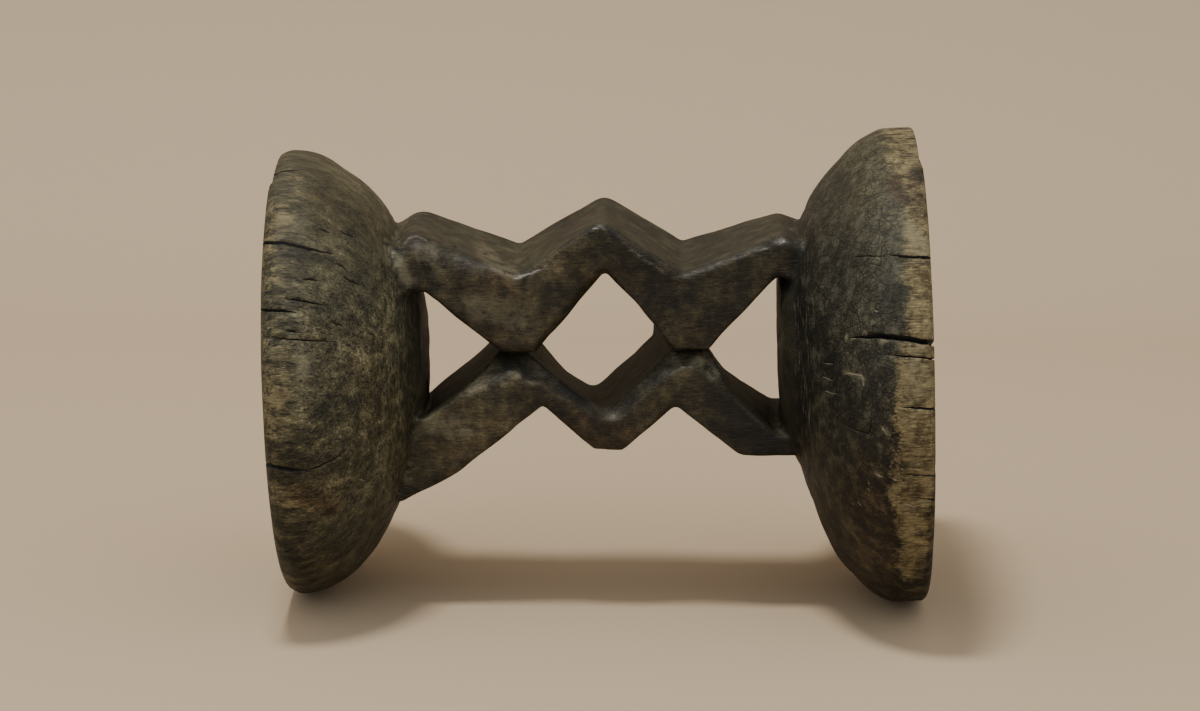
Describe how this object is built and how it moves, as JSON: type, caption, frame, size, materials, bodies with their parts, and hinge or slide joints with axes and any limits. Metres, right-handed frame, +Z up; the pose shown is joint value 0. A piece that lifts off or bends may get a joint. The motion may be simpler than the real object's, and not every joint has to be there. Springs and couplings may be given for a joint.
{
  "type": "tonga stool",
  "caption": "Round stool carved from a single block: a dished seat on zigzag legs over a broad domed base, in worn dark wood.",
  "frame": {"origin": "middle of the base's flat underside", "axes": "+Z up from the base to the seat; X runs from the left leg to the right leg, across the flat of their zigzags; Y runs through the gaps between the legs"},
  "size_m": [0.253, 0.253, 0.34],
  "materials": {
    "carved_wood": "handled dark patina, satin on the worn edges and dry on the base's rim"
  },
  "bodies": {
    "root": {"stool": "carved_wood"}
  },
  "joints": []
}
